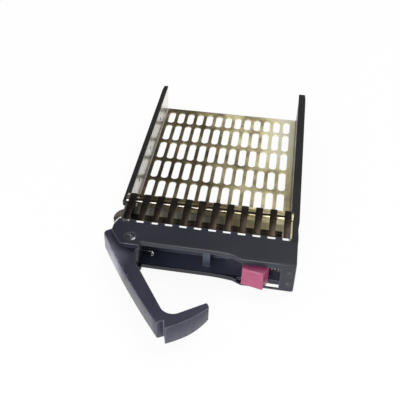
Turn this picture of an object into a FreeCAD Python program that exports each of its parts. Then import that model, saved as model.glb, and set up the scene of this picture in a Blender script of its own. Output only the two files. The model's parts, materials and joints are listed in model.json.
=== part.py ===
"""Hot-swap carrier for a 2.5-inch drive.

A folded sheet tray holds the drive, a moulded bezel closes its front, and a swinging
ejector lever with a sliding release button locks the carrier into its bay.

Frame: X to the right, Y to the rear (the connector end), Z up, in millimetres.
The origin is on the tray's underside, on the drive's centre plane, in line with
the front pair of drive screws.
"""
import FreeCAD, Part
import math
import os
from FreeCAD import Placement, Rotation, Vector

os.makedirs("parts", exist_ok=True)

# ---------------------------------------------------------------- the drive it holds
drive_width = 69.85
drive_length = 100.2
front_screw_from_front = 9.6
rear_screw_from_connector = 14.0
screw_height_in_drive = 3.0
side_clearance = 0.9            # between the drive and each wall
end_clearance = 0.5             # between the drive and the front wall
connector_overhang = 3.2        # the connector stands this far out of the tray

# ---------------------------------------------------------------- folded sheet tray
sheet = 0.8
bend_radius = 0.5               # inside radius of every fold
wall_top = 15.0
flange_top = 16.7               # top of the front wall's folded edge
flange_depth = 4.2
ear_length = 12.6               # side walls carry on this far past the front wall
corner_relief = 0.3
drive_screw_hole_radius = 1.7

slot_columns = 13
slot_rows = 5
slot_side_margin = 1.7          # floor left over beside the outer columns' share
slot_front_margin = 7.4
slot_width = 3.5
slot_web = 1.6                  # bars between the rows
slot_grid_offset = -0.6         # the slots are centred between the rails, not the walls
last_row_shortening = 3.8       # the rearmost row stops short of the rear edge
floor_rear_margin = 3.1         # solid strip behind the rearmost row

# ---------------------------------------------------------------- spring contact fingers
finger_count = 12
finger_end_margin = 1.25        # the fingers' share runs this far past the walls' inner faces
finger_width = 3.0
finger_sheet = 0.2
window_width = 3.6              # openings between the fingers' roots
wall_window_bottom = 12.4
wall_window_top = 15.0
wall_foot = 4.6                 # the front wall ends here, above a long vent through its fold
vent_depth = 6.4
tab_count = 4                   # tabs that join the front wall to the floor
tab_width = 2.2
lower_finger_shift = -1.4       # the lower fingers stand this far left of centre
lower_finger_width = 2.2
leaf_heights = ((3.6, 7.4), (9.6, 13.4))     # side contact springs
left_leaf_bow = 3.4
right_leaf_bow = 0.3
spring_seat_depth = 0.4         # the right rail is thinned this much under its spring

# ---------------------------------------------------------------- guide rails
left_rail_thickness = 1.5
right_rail_width = 2.7          # leaves room for the light pipes beside the wall
rail_skin = 1.0
rail_bottom = 2.2
rail_lip = 0.8                  # the rail stands this far above the wall
rail_groove_depth = 0.9
screw_access_radius = 3.3
rail_rivet_radius = 1.1
rail_rivet_count = 3
rail_rivet_margin = 12.0        # distance from the drive screws

# ---------------------------------------------------------------- moulded bezel
left_overhang = 1.625           # bezel beyond the tray's wall
right_overhang = 2.425
bezel_bottom = 1.3
bezel_top = 16.8
plate = 2.2                     # top and bottom plates
bezel_gap = 12.7                # front wall to the bezel's rear edge
bezel_depth = 15.0
lip_recess = 2.6                # the lip behind the shut lever stands back from the block
block_width = 21.4              # block round the button, at the right
front_wall_thickness = 1.4
back_wall = 1.2
back_wall_depth = 2.9           # from the rear edge
notch_depth = 1.3               # finger notches in the rear edge
notch_width = 3.2
edge_round = 0.45
rib_place = 30.2                # from the pivot
rib_width = 3.1
rib_length = 5.8
arm_thickness = 1.95            # mounting arms inside the tray's ears
arm_length = 10.1
arm_top = 13.4
arm_tip_top = 4.9
bezel_rivet_radius = 1.1
bezel_rivet_setback = 4.1

# ---------------------------------------------------------------- ejector lever
pivot_inset = 8.9               # from the bezel's left side
pivot_setback = 4.9             # from the block's front
open_angle = 54.5
lever_bottom = 4.0
lever_top = 13.3
heel_overhang = 2.3             # the heel passes the bezel's side by this much
lever_outer = 7.8               # pivot axis to the arm's outer face
heel_outer = 8.1
lever_bulge = 1.1
lever_inner = 3.4               # pivot axis to the arm's inner face
hook_thickness = 4.6
hook_clearance = 0.2            # from the hook's outer face to the block
hook_start_angle = -7.3
hook_end_angle = 16.0
hook_fillet = 5.2
tip_rise = 3.0
hub_radius = 4.6
hub_side_clearance = 0.1
pin_radius = 1.5
pin_clearance = 0.05
pin_head_radius = 2.4
pin_head_height = 0.5
pin_head_recess = 0.4
retainer_sheet = 0.35
retainer_radius = 2.8
retainer_recess = 0.85

# ---------------------------------------------------------------- lever spring
spring_wire = 0.7
spring_coil_radius = 3.1
spring_turns = 3
spring_neck_radius = 2.4
spring_leg = 10.0

# ---------------------------------------------------------------- release button
button_width = 10.8
button_bottom = 3.9
button_top = 13.2
button_front_left = 1.6         # how far the front stands out at its left edge
button_front_right = 3.5        # and at its right edge
button_front_width = 8.6
button_length = 8.4             # slider, from the block's inside
button_gap = 0.2
opening_width = 15.4
opening_bottom = 2.3
opening_top = 13.9
guide_slot_setback = 0.7        # from the block's front
guide_slot_width = 2.5
nose_clearance = 0.28           # between the button's nose and the swinging hook
return_wire = 0.4
return_coil_radius = 1.5
return_turns = 6

# ---------------------------------------------------------------- light pipes
pipe_width = 1.4
pipe_height = 1.8
pipe_bend = 6.0
upper_pipe_heights = (12.4, 11.2)   # along the rail, at the window
lower_pipe_heights = (8.8, 5.5)
window_width_led = 1.8
window_height_led = 2.4
window_inset = 2.5              # window centre to the bezel's right side
fit_gap = 0.1

# ---------------------------------------------------------------- derived places
wall_inner = drive_width / 2 + side_clearance
wall_outer = wall_inner + sheet
front_screw_from_connector = drive_length - front_screw_from_front
tray_rear = front_screw_from_connector - connector_overhang
front_wall_rear = -front_screw_from_front - end_clearance
front_wall_front = front_wall_rear - sheet
ear_front = front_wall_front - ear_length
screw_z = sheet + screw_height_in_drive
screw_places = (0.0, front_screw_from_connector - rear_screw_from_connector)
slot_column_pitch = 2 * (wall_inner - slot_side_margin) / slot_columns
slot_row_pitch = (tray_rear - slot_front_margin) / slot_rows
slot_length = slot_row_pitch - slot_web
rail_top = wall_top + rail_lip
right_outer = wall_outer + right_rail_width
left_rivet_z = (rail_bottom + rail_top) / 2
right_rivet_z = 5.0

bezel_left = wall_outer + left_overhang
bezel_right = wall_outer + right_overhang
bezel_rear = front_wall_front - bezel_gap
block_front = bezel_rear - bezel_depth
lip_front = block_front + lip_recess
back_wall_front = bezel_rear - back_wall_depth
block_left = bezel_right - block_width
block_inside = block_front + front_wall_thickness
cavity_bottom = bezel_bottom + plate
cavity_top = bezel_top - plate
bezel_rivet_y = bezel_rear + bezel_rivet_setback
bezel_rivet_heights = (cavity_bottom + 1.3, cavity_bottom + 5.2)

pivot_x = -bezel_left + pivot_inset
pivot_y = block_front + pivot_setback
rib_left = pivot_x + rib_place
hook_radius = block_left - hook_clearance - pivot_x
hook_inner = hook_radius - hook_thickness
lever_reach = hook_inner + 0.5
lever_heel = pivot_inset + heel_overhang

button_left = block_left + 0.1
button_rear = block_inside + button_length + 0.2
return_spring_y = (block_inside + button_rear) / 2
chamber_right = block_left + opening_width + 0.35
opening_right = block_left + opening_width
guide_slot_front = block_front + guide_slot_setback
guide_slot_rear = guide_slot_front + guide_slot_width
pipe_left = wall_outer + fit_gap
pipe_right = pipe_left + pipe_width
window_x = bezel_right - window_inset

finger_centre = (bezel_right - bezel_left) / 2 - 0.1
finger_pitch = 2 * (wall_inner + finger_end_margin) / finger_count
finger_places = [finger_centre + finger_pitch * (n - (finger_count - 1) / 2)
                 for n in range(finger_count)]
gap_places = [x + finger_pitch / 2 for x in finger_places[:-1]]
lower_pitch = 2 * wall_inner / len(gap_places) + 0.04
lower_places = [finger_centre + lower_finger_shift + lower_pitch * (n - (finger_count - 2) / 2)
                for n in range(finger_count - 1)]
tab_places = lower_places[1::3][:tab_count]


# ================================================================ helpers
def box(x0, x1, y0, y1, z0, z1):
    return Part.makeBox(x1 - x0, y1 - y0, z1 - z0, Vector(x0, y0, z0))


def rod(start, end, radius):
    """A cylinder from one point to another."""
    way = end - start
    return Part.makeCylinder(radius, way.Length, start, way)


def on_xy(z):
    return lambda u, v: Vector(u, v, z)


def on_yz(x):
    return lambda u, v: Vector(x, u, v)


def on_xz(y):
    return lambda u, v: Vector(u, y, v)


def outline(place, start, *steps):
    """A closed face: each step is a corner (u, v), or an arc ((mid), (end))."""
    edges = []
    here = place(*start)
    for step in steps + (start,):
        if isinstance(step[0], tuple):
            mid, end = (place(*p) for p in step)
            edges.append(Part.Arc(here, mid, end).toShape())
        else:
            end = place(*step)
            if (end - here).Length < 1e-6:
                continue
            edges.append(Part.LineSegment(here, end).toShape())
        here = end
    return Part.Face(Part.Wire(edges))


def folded(place, start, heading, steps, thickness):
    """The section of a folded strip, walked from start along its right-hand side.

    Each step is a straight run (length,) or a fold (inside radius, turn in degrees);
    a positive turn goes to the left. The strip's thickness lies on the left too, or on
    the right where it is negative."""
    u, v = start
    angle = math.radians(heading)
    right, left = [], []

    def side(point, way, offset):
        return place(point[0] - offset * math.sin(way), point[1] + offset * math.cos(way))

    for step in steps:
        if len(step) == 1:
            nu = u + step[0] * math.cos(angle)
            nv = v + step[0] * math.sin(angle)
            for edges, offset in ((right, 0.0), (left, thickness)):
                a, b = side((u, v), angle, offset), side((nu, nv), angle, offset)
                edges.append(Part.LineSegment(a, b).toShape())
            u, v = nu, nv
            continue
        inside, turn = step[0], math.radians(step[1])
        if turn > 0:
            radius = inside + max(thickness, 0.0)
        else:
            radius = -inside + min(thickness, 0.0)
        cu, cv = u - radius * math.sin(angle), v + radius * math.cos(angle)

        def on_arc(way, offset):
            reach = radius - offset
            return place(cu + reach * math.sin(way), cv - reach * math.cos(way))

        for edges, offset in ((right, 0.0), (left, thickness)):
            points = [on_arc(angle + turn * share, offset) for share in (0.0, 0.5, 1.0)]
            edges.append(Part.Arc(*points).toShape())
        angle += turn
        u, v = cu + radius * math.sin(angle), cv - radius * math.cos(angle)
    ends = [Part.LineSegment(right[-1].Vertexes[-1].Point, left[-1].Vertexes[-1].Point),
            Part.LineSegment(left[0].Vertexes[0].Point, right[0].Vertexes[0].Point)]
    edges = right + [ends[0].toShape()] + left[::-1] + [ends[1].toShape()]
    return Part.Face(Part.Wire(Part.__sortEdges__(edges)))


def rounded_slot(x, y, width, length, z0, z1):
    """A slot along Y with round ends."""
    r, half = width / 2, length / 2 - width / 2
    face = outline(on_xy(z0), (x - r, y - half), ((x, y - half - r), (x + r, y - half)),
                   (x + r, y + half), ((x, y + half + r), (x - r, y + half)))
    return face.extrude(Vector(0, 0, z1 - z0))


def coil(centre, axis, radius, wire, turns, pitch):
    """A round-wire coil whose axis starts at centre."""
    path = Part.makeHelix(pitch, pitch * turns, radius)
    section = Part.Wire(Part.makeCircle(wire / 2, Vector(radius, 0, 0), Vector(0, 1, 0)))
    solid = Part.Wire(path).makePipeShell([section], True, True)
    solid.Placement = Placement(centre, Rotation(Vector(0, 0, 1), axis))
    return solid


def save(name, shape):
    shape = shape.removeSplitter()
    solids = shape.Solids
    result = solids[0] if len(solids) == 1 else Part.makeCompound(solids)
    result.exportStep("parts/%s.step" % name)
    print("%-20s %d solid(s) %9.2f mm3 valid %s" % (
        name, len(solids), result.Volume, result.isValid()))


# ================================================================ tray
def tray():
    """One sheet: a slotted floor, two side walls and a front wall with a folded edge."""
    outer_bend = bend_radius + sheet
    side_run = wall_top - outer_bend
    floor_run = 2 * (wall_outer - outer_bend)
    trough = folded(on_xz(ear_front), (-wall_outer, wall_top), -90,
                    [(side_run,), (bend_radius, 90), (floor_run,), (bend_radius, 90),
                     (side_run,)], sheet)
    body = trough.extrude(Vector(0, tray_rear - ear_front, 0))
    floor_end = front_wall_rear + bend_radius + 2 * sheet
    inner = wall_inner - corner_relief
    body = body.cut(box(-wall_outer - 1, wall_outer + 1, ear_front - 1,
                        floor_end, -1, outer_bend + sheet))

    for x0, x1 in ((-wall_outer - 1, -inner + 2), (inner - 2, wall_outer + 1)):
        body = body.cut(box(x0, x1, floor_end - 1, front_wall_front + vent_depth,
                            -1, outer_bend + sheet))
    low = -wall_outer
    front = folded(on_yz(low), (floor_end + 1, 0), 180,
                   [(floor_end + 1 - front_wall_front - outer_bend,), (bend_radius, -90),
                    (flange_top - 2 * outer_bend,), (bend_radius, -90),
                    (flange_depth - outer_bend,)], -sheet)
    wall = front.extrude(Vector(2 * wall_outer, 0, 0))
    ends = [box(-wall_outer - 1, -inner, front_wall_front - 1, floor_end + 2, -1,
                wall_top + corner_relief),
            box(inner, wall_outer + 1, front_wall_front - 1, floor_end + 2, -1,
                wall_top + corner_relief)]
    body = body.fuse(wall.cut(ends))

    tools = []
    first_row = tray_rear - floor_rear_margin + last_row_shortening - slot_length / 2
    for column in range(slot_columns):
        x = slot_grid_offset + slot_column_pitch * (column - (slot_columns - 1) / 2)
        for row in range(slot_rows):
            short = last_row_shortening if row == 0 else 0.0
            y = first_row - row * slot_row_pitch - short / 2
            tools.append(rounded_slot(x, y, slot_width, slot_length - short, -1, 2 * sheet))
    for x in gap_places:
        half = window_width / 2
        tools.append(box(x - half, x + half, front_wall_front - 1, front_wall_rear + 1,
                         wall_window_bottom, wall_window_top))
        tools.append(box(x - half, x + half, front_wall_front + sheet,
                         front_wall_front + flange_depth - sheet,
                         flange_top - sheet - 0.5, flange_top + 1))
    edges = [-wall_outer - 1] + [x + side for x in tab_places
                                 for side in (-tab_width / 2, tab_width / 2)] + [wall_outer + 1]
    for x0, x1 in zip(edges[0::2], edges[1::2]):
        tools.append(box(max(x0, -inner), min(x1, inner), front_wall_front - 1,
                         front_wall_front + vent_depth, -1, wall_foot))
    for y in screw_places:
        tools.append(rod(Vector(-wall_outer - 1, y, screw_z), Vector(wall_outer + 1, y, screw_z),
                         drive_screw_hole_radius))
    for y in rivet_places():
        tools.append(rod(Vector(-wall_outer - 1, y, left_rivet_z), Vector(0, y, left_rivet_z),
                         rail_rivet_radius))
        tools.append(rod(Vector(0, y, right_rivet_z), Vector(wall_outer + 1, y, right_rivet_z),
                         rail_rivet_radius))
    for z in bezel_rivet_heights:
        tools.append(rod(Vector(-wall_outer - 1, bezel_rivet_y, z),
                         Vector(wall_outer + 1, bezel_rivet_y, z), bezel_rivet_radius))
    return body.cut(tools)


def rivet_places():
    """The rails' rivets, evenly spaced between the two pairs of drive screws."""
    first = screw_places[0] + rail_rivet_margin
    span = screw_places[1] - rail_rivet_margin - first
    return [first + span * n / (rail_rivet_count - 1) for n in range(rail_rivet_count)]


# ================================================================ contact fingers
def top_emi_strip():
    """A spring strip on the front wall's folded edge: fingers forward, clips behind."""
    seat = front_wall_front + bend_radius + sheet
    reach = seat - (bezel_rear - 0.2)
    finger = folded(on_yz(0), (front_wall_front + flange_depth, flange_top), 180,
                    [(flange_depth - bend_radius - sheet + 0.6,), (3.0, -9.0),
                     (2.4,), (14.0, 21.0), (reach - 8.8,)], -finger_sheet)
    strip = None
    for x in finger_places:
        blade = finger.extrude(Vector(finger_width, 0, 0))
        blade.translate(Vector(x - finger_width / 2, 0, 0))
        strip = blade if strip is None else strip.fuse(blade)
    half = (finger_places[-1] - finger_places[0] + finger_width) / 2
    spine = box(finger_centre - half, finger_centre + half,
                front_wall_front + 0.2, front_wall_front + bend_radius + sheet,
                flange_top, flange_top + finger_sheet)
    return strip.fuse(spine)


def bottom_emi_strip():
    """Fingers below, hung from a band on the front wall, just behind the vent."""
    band_bottom, band_top = wall_foot, wall_foot + 3.6
    face = front_wall_front
    half = (lower_places[-1] - lower_places[0] + lower_finger_width) / 2
    centre = (lower_places[-1] + lower_places[0]) / 2
    strip = box(centre - half, centre + half, face - finger_sheet, face, band_bottom, band_top)
    drop = band_bottom + 0.5 - 2.2
    reach = bezel_gap - 9.9
    finger = folded(on_yz(0), (face - finger_sheet, band_bottom + 0.5), -90,
                    [(drop,), (1.0, -86.0), (2.6,), (16.0, -22.0), (reach,)], finger_sheet)
    for x in lower_places:
        blade = finger.extrude(Vector(lower_finger_width, 0, 0))
        blade.translate(Vector(x - lower_finger_width / 2, 0, 0))
        strip = strip.fuse(blade)
    return strip


def side_emi_spring(side):
    """A clip flat on its seat with two bowed leaves; side is -1 for left, 1 for right."""
    if side < 0:
        seat, bow = wall_outer, left_leaf_bow
    else:
        seat, bow = right_outer - spring_seat_depth, right_leaf_bow
    rear, root = front_wall_front - 1.0, front_wall_front - 3.0
    tip = bezel_rear - 0.8
    mid = (root + tip) / 2 - 1.0
    lift = 0.2 * bow
    outside = seat + finger_sheet
    x0, x1 = sorted((side * seat, side * outside))
    low, high = leaf_heights[0][0], leaf_heights[1][1]
    spring = box(x0, x1, root, rear, low, high)
    for z0, z1 in leaf_heights:
        leaf = outline(on_xy(z0), (side * seat, root),
                       ((side * (seat + bow), mid), (side * (seat + lift), tip)),
                       (side * (outside + lift), tip),
                       ((side * (outside + bow), mid), (side * outside, root)))
        spring = spring.fuse(leaf.extrude(Vector(0, 0, z1 - z0)))
    return spring


# ================================================================ guide rails
def lead_in(side, outer, rear):
    """A wedge that tapers a rail's rear end so that it finds its bay."""
    depth, length = 0.4, 4.0
    face = outline(on_xy(-1), (side * (outer + 1), rear + 1), (side * (outer - depth), rear + 1),
                   (side * (outer - depth), rear), (side * outer, rear - length),
                   (side * (outer + 1), rear - length))
    return face.extrude(Vector(0, 0, rail_top + 2))


def left_guide_rail():
    """A moulded runner, hooked over the wall's edge, with a groove down its outside."""
    outer = left_rail_thickness + wall_outer
    y0, y1 = front_wall_front - 0.6, tray_rear - 0.4
    groove_bottom, groove_top = rail_bottom + 3.6, rail_top - 3.0
    mouth = 0.6
    section = outline(
        on_xz(y0), (-wall_outer, rail_bottom), (-wall_outer, wall_top),
        (-wall_inner + 0.1, wall_top), (-wall_inner + 0.1, rail_top), (-outer, rail_top),
        (-outer, groove_top + mouth), (-outer + rail_groove_depth, groove_top),
        (-outer + rail_groove_depth, groove_bottom), (-outer, groove_bottom - mouth),
        (-outer, rail_bottom + 0.6), (-outer + 0.6, rail_bottom))
    rail = section.extrude(Vector(0, y1 - y0, 0))
    tools = [lead_in(-1, outer, y1),
             box(-wall_outer - fit_gap, 0, y0 - 1,
                 front_wall_front + bend_radius + sheet + fit_gap, wall_top, rail_top + 1)]
    for y in screw_places:
        tools.append(rod(Vector(-outer - 1, y, screw_z), Vector(-wall_outer, y, screw_z),
                         screw_access_radius))
    for y in rivet_places():
        tools.append(rod(Vector(-outer - 1, y, left_rivet_z),
                         Vector(-wall_outer, y, left_rivet_z), rail_rivet_radius))
    return rail.cut(tools)


def right_guide_rail():
    """The other runner is a channel that also carries the light pipes along the wall."""
    skin = right_outer - rail_skin
    y0, y1 = bezel_rear - 1.6, front_screw_from_connector
    lower, upper = lower_pipe_heights[0], upper_pipe_heights[0]
    reach = pipe_height / 2 + fit_gap
    shelf = (upper - lower) / 2 - reach
    mid = (upper + lower) / 2
    shelves = [(rail_bottom, rail_bottom + 0.9), (lower - reach - 0.8, lower - reach),
               (mid - shelf, mid + shelf)]
    section = outline(on_xz(y0), (skin, rail_bottom), (skin, wall_top), (pipe_left, wall_top),
                      (pipe_left, rail_top), (right_outer, rail_top),
                      (right_outer, rail_bottom + 0.6), (right_outer - 0.6, rail_bottom))
    rail = section.extrude(Vector(0, y1 - y0, 0))
    lip_start = front_wall_front + bend_radius + sheet + fit_gap
    rail = rail.fuse(box(wall_inner - 0.1, pipe_left + 0.1, lip_start, y1, wall_top, rail_top))
    for z0, z1 in shelves:
        rail = rail.fuse(box(wall_outer, skin + 0.1, front_wall_front, y1 - 3.0, z0, z1))
    for y in rivet_places():
        rail = rail.fuse(rod(Vector(wall_outer, y, right_rivet_z),
                             Vector(skin + 0.1, y, right_rivet_z), 2.2))
    tools = [lead_in(1, right_outer, y1),
             box(right_outer - spring_seat_depth, right_outer + 1, y0 - 1,
                 front_wall_front - 0.8,
                 rail_bottom - 1, rail_top + 1)]
    for y in screw_places:
        tools.append(rod(Vector(wall_outer, y, screw_z), Vector(right_outer + 1, y, screw_z),
                         screw_access_radius))
    for y in rivet_places():
        tools.append(rod(Vector(wall_outer, y, right_rivet_z),
                         Vector(right_outer + 1, y, right_rivet_z), rail_rivet_radius))
        tools.append(rod(Vector(right_outer - 0.5, y, right_rivet_z),
                         Vector(right_outer + 1, y, right_rivet_z), 1.9))
    return rail.cut(tools)


def rail_rivets(side):
    """Rivets flush inside the wall, with round heads sunk in the rail."""
    group = []
    for y in rivet_places():
        if side < 0:
            z, seat = left_rivet_z, left_rail_thickness + wall_outer - rail_groove_depth
        else:
            z, seat = right_rivet_z, right_outer - 0.5
        shank = rod(Vector(side * wall_inner, y, z), Vector(side * seat, y, z),
                    rail_rivet_radius)
        head = rod(Vector(side * seat, y, z), Vector(side * (seat + 0.45), y, z), 1.8)
        group.append(shank.fuse(head))
    return Part.makeCompound(group)


def bezel_rivets(side):
    """Two rivets through an ear of the tray and the bezel's arm beside it."""
    group = []
    inner, outer = wall_inner - arm_thickness, wall_outer
    for z in bezel_rivet_heights:
        shank = rod(Vector(side * inner, bezel_rivet_y, z), Vector(side * outer, bezel_rivet_y, z),
                    bezel_rivet_radius)
        head = rod(Vector(side * (inner - 0.5), bezel_rivet_y, z),
                   Vector(side * inner, bezel_rivet_y, z), 1.8)
        group.append(shank.fuse(head))
    return Part.makeCompound(group)


# ================================================================ bezel
def bezel_plan(z):
    """The bezel seen from above: an ear round the pivot, a recessed lip and the block."""
    ear_left, ear_right = -bezel_left, pivot_x + 4.75
    ear_front = block_front + 0.6
    ramp = block_left - 3.8
    return outline(
        on_xy(z), (-bezel_left + 1.6, bezel_rear), (ear_left, bezel_rear - 4.4),
        (ear_left, pivot_y + 3.1), (ear_left + 4.4, pivot_y - 3.0),
        ((ear_left + 5.4, pivot_y - 3.9), (ear_left + 7.0, ear_front)),
        (ear_right - 0.8, ear_front),
        ((ear_right - 0.234, ear_front + 0.234), (ear_right, ear_front + 0.8)),
        (ear_right, lip_front), (ramp - 11.85, lip_front),
        ((ramp - 5.0, lip_front - 0.3), (ramp, lip_front - 0.9)),
        (block_left - 0.2, block_front), (bezel_right - 1.0, block_front),
        ((bezel_right - 0.29, block_front + 0.29), (bezel_right, block_front + 1.0)),
        (bezel_right, bezel_rear - 2.2), (bezel_right - 2.4, bezel_rear - 2.2),
        (bezel_right - 2.4, bezel_rear))


def bezel():
    height = bezel_top - bezel_bottom
    body = bezel_plan(bezel_bottom).extrude(Vector(0, 0, height))
    rims = [e for e in body.Edges
            if abs(e.BoundBox.ZMax - e.BoundBox.ZMin) < 1e-6
            and e.BoundBox.YMax < bezel_rear - 2.0]
    body = body.makeFillet(edge_round, rims)

    hook_left = pivot_x + hook_inner - 1.4
    channel_left = window_x - window_width_led / 2
    front = block_front - 5.0
    behind = bezel_rear + 5.0
    side = -bezel_left - 5.0
    tools = [
        # the lever's recess, open at the front and at the left side
        box(side, block_left, front, back_wall_front, cavity_bottom, cavity_top),
        # the hook passes beside the back wall
        box(hook_left, block_left + 1, back_wall_front - 1, behind, cavity_bottom, cavity_top),
        # behind the back wall
        box(side, bezel_right + 1, back_wall_front + back_wall, behind,
            cavity_bottom, cavity_top),
        # open side over the lever's heel
        box(side, -wall_inner, front, behind, cavity_bottom, cavity_top),
        # the release button's chamber and its opening
        box(block_left - 1, chamber_right, block_inside, behind,
            cavity_bottom, cavity_top),
        box(block_left - 2, opening_right, front, block_inside + 1,
            opening_bottom, opening_top),
        box(block_left, opening_right, guide_slot_front, guide_slot_rear,
            bezel_bottom - 1, cavity_bottom + 1),
        # the light pipes' channel and their two windows
        box(channel_left, bezel_right - 0.85, block_inside, behind,
            cavity_bottom, cavity_top),
    ]
    for z in (upper_pipe_heights[1], lower_pipe_heights[1]):
        half, tall = window_width_led / 2, window_height_led / 2
        tools.append(box(window_x - half, window_x + half, front,
                         block_inside + 1, z - tall, z + tall))
    for x in finger_places:
        tools.append(box(x - notch_width / 2, x + notch_width / 2, bezel_rear - notch_depth,
                         bezel_rear + 1, cavity_top - 1, bezel_top + 1))
    pivot = Vector(pivot_x, pivot_y, 0)
    tools.append(Part.makeCylinder(pin_radius, bezel_top + 1, pivot))
    tools.append(Part.makeCylinder(pin_head_radius + 0.1, pin_head_recess + 1,
                                   pivot + Vector(0, 0, bezel_top - pin_head_recess)))
    tools.append(Part.makeCylinder(retainer_radius + 0.2, bezel_bottom + retainer_recess, pivot))
    body = body.cut(tools)

    rib = box(rib_left, rib_left + rib_width, back_wall_front - rib_length,
              back_wall_front + 0.1,
              cavity_bottom - 0.1, cavity_top + 0.1)
    body = body.fuse(rib)
    arm = outline(on_yz(0), (back_wall_front + 0.2, cavity_bottom - 0.1),
                  (back_wall_front + 0.2, arm_top), (bezel_rear + 1.1, arm_top),
                  (bezel_rear + arm_length, arm_tip_top),
                  (bezel_rear + arm_length, cavity_bottom - 0.6),
                  (bezel_rear, cavity_bottom - 0.6))
    for x in (-wall_inner, wall_inner - arm_thickness):
        solid = arm.extrude(Vector(arm_thickness, 0, 0))
        solid.translate(Vector(x, 0, 0))
        body = body.fuse(solid)
    tools = []
    for z in bezel_rivet_heights:
        tools.append(rod(Vector(-wall_outer, bezel_rivet_y, z),
                         Vector(wall_outer, bezel_rivet_y, z), bezel_rivet_radius))
    return body.cut(tools)


# ================================================================ ejector lever
def swung(shape, angle):
    """The lever is drawn shut, along the bezel's front, and swung open about its pin."""
    shape.Placement = Placement(Vector(pivot_x, pivot_y, 0), Rotation(Vector(0, 0, 1), angle))
    return shape


def on_hook(angle, radius=hook_radius):
    way = math.radians(angle)
    return (radius * math.cos(way), radius * math.sin(way))


def ejector_lever():
    """Arm, heel and hook in one moulding, drawn shut with the pivot at the origin."""
    z0, z1 = lever_bottom, lever_top
    mid = (lever_reach - lever_heel) / 2
    start = on_hook(hook_start_angle)
    tip = on_hook(hook_end_angle)
    tip_back = on_hook(hook_end_angle + 1.0, hook_radius - 1.2)
    low = hook_inner - hook_fillet
    bend = 0.293 * hook_fillet
    plan = outline(
        on_xy(z0), (-lever_heel + 0.8, -heel_outer),
        ((mid, -lever_outer - lever_bulge), (lever_reach, -lever_outer)),
        (lever_reach + 0.3, -lever_outer + 2.9), start,
        (on_hook((hook_start_angle + hook_end_angle) / 2), tip),
        (on_hook(hook_end_angle + 0.8, hook_radius - 0.5), tip_back),
        (hook_inner + 0.9, tip_back[1] + 0.3),
        ((hook_inner + 0.35, tip_back[1] - 0.1), (hook_inner + 0.2, tip_back[1] - 0.8)),
        (hook_inner, hook_fillet - lever_inner),
        ((hook_inner - bend, -lever_inner + bend), (low, -lever_inner)),
        (hub_radius + 6.0, -lever_inner + 0.7), (hub_radius, 0.0), (-lever_heel, -1.8),
        (-lever_heel, -heel_outer + 1.2))
    arm = plan.extrude(Vector(0, 0, z1 - z0))
    hub = Part.makeCylinder(hub_radius, z1 - z0, Vector(0, 0, z0))
    body = arm.fuse(hub)

    # the hook thins towards its tip, from below
    y_tip = tip_back[1]
    under = outline(on_yz(hook_inner - 2), (2.0, z0 - 1), (2.0, z0),
                    ((y_tip - 4.0, z0 + tip_rise * 0.35), (y_tip + 1.0, z0 + tip_rise)),
                    (y_tip + 1.0, z0 - 1))
    body = body.cut(under.extrude(Vector(8, 0, 0)))
    rims = [e for e in body.Edges
            if e.BoundBox.ZMax - e.BoundBox.ZMin < 1e-6 and e.Length > 12
            and e.BoundBox.YMax < -lever_outer + 0.5 and e.BoundBox.XMax < lever_reach + 0.1]
    body = body.makeFillet(0.8, rims)

    # bearing bosses above and below, a bore for the pin and room for the spring
    boss_bottom = cavity_bottom + hub_side_clearance
    boss_top = cavity_top - hub_side_clearance
    boss = Part.makeCylinder(spring_neck_radius, boss_top - boss_bottom,
                             Vector(0, 0, boss_bottom))
    coil_room = spring_coil_radius + spring_wire / 2 + 0.3
    room_top = z0 + spring_turns * spring_wire * 1.1 + 1.9
    room = Part.makeCylinder(coil_room, room_top - z0 + 1, Vector(0, 0, z0 - 1))
    exit_slot = box(-hub_radius - 1, hub_radius + 8, spring_coil_radius * 0.4, hub_radius + 1,
                    z0 - 1, room_top)
    body = body.cut(room).cut(exit_slot).fuse(boss)
    anchor = box(0.5, hub_radius + 2.4, -spring_coil_radius - 1.6, -spring_coil_radius + 0.6,
                 z0 - 1, z0 + 1.6)
    bore = Part.makeCylinder(pin_radius + pin_clearance, bezel_top)
    return swung(body.cut([anchor, bore]), -open_angle)


def lever_pin():
    """Headed pin, fixed in the bezel's plates, that the lever turns on."""
    foot = bezel_bottom + 0.2
    shoulder = bezel_top - pin_head_recess
    radius, head = pin_radius, pin_head_radius
    groove_top = bezel_bottom + retainer_recess
    groove = groove_top - retainer_sheet
    profile = outline(
        on_xz(0), (0, foot), (radius - 0.2, foot), (radius - 0.2, groove),
        (radius - 0.45, groove), (radius - 0.45, groove_top), (radius, groove_top),
        (radius, shoulder), (head, shoulder),
        ((head * 0.8, shoulder + pin_head_height * 0.9),
         (head * 0.35, shoulder + pin_head_height)),
        (0, shoulder + pin_head_height - 0.3))
    pin = profile.revolve(Vector(0, 0, 0), Vector(0, 0, 1), 360)
    pin.translate(Vector(pivot_x, pivot_y, 0))
    return pin


def pin_retainer():
    """Push-on ring that grips the pin's groove under the bottom plate."""
    bottom = bezel_bottom + retainer_recess - retainer_sheet
    ring = Part.makeCylinder(retainer_radius, retainer_sheet, Vector(pivot_x, pivot_y, bottom))
    hole = Part.makeCylinder(pin_radius - 0.45, 2, Vector(pivot_x, pivot_y, bottom - 1))
    gap = box(pivot_x - 0.4, pivot_x + 0.4, pivot_y, pivot_y + retainer_radius + 1,
              bottom - 1, bottom + 1)
    return ring.cut(hole.fuse(gap))


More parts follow.
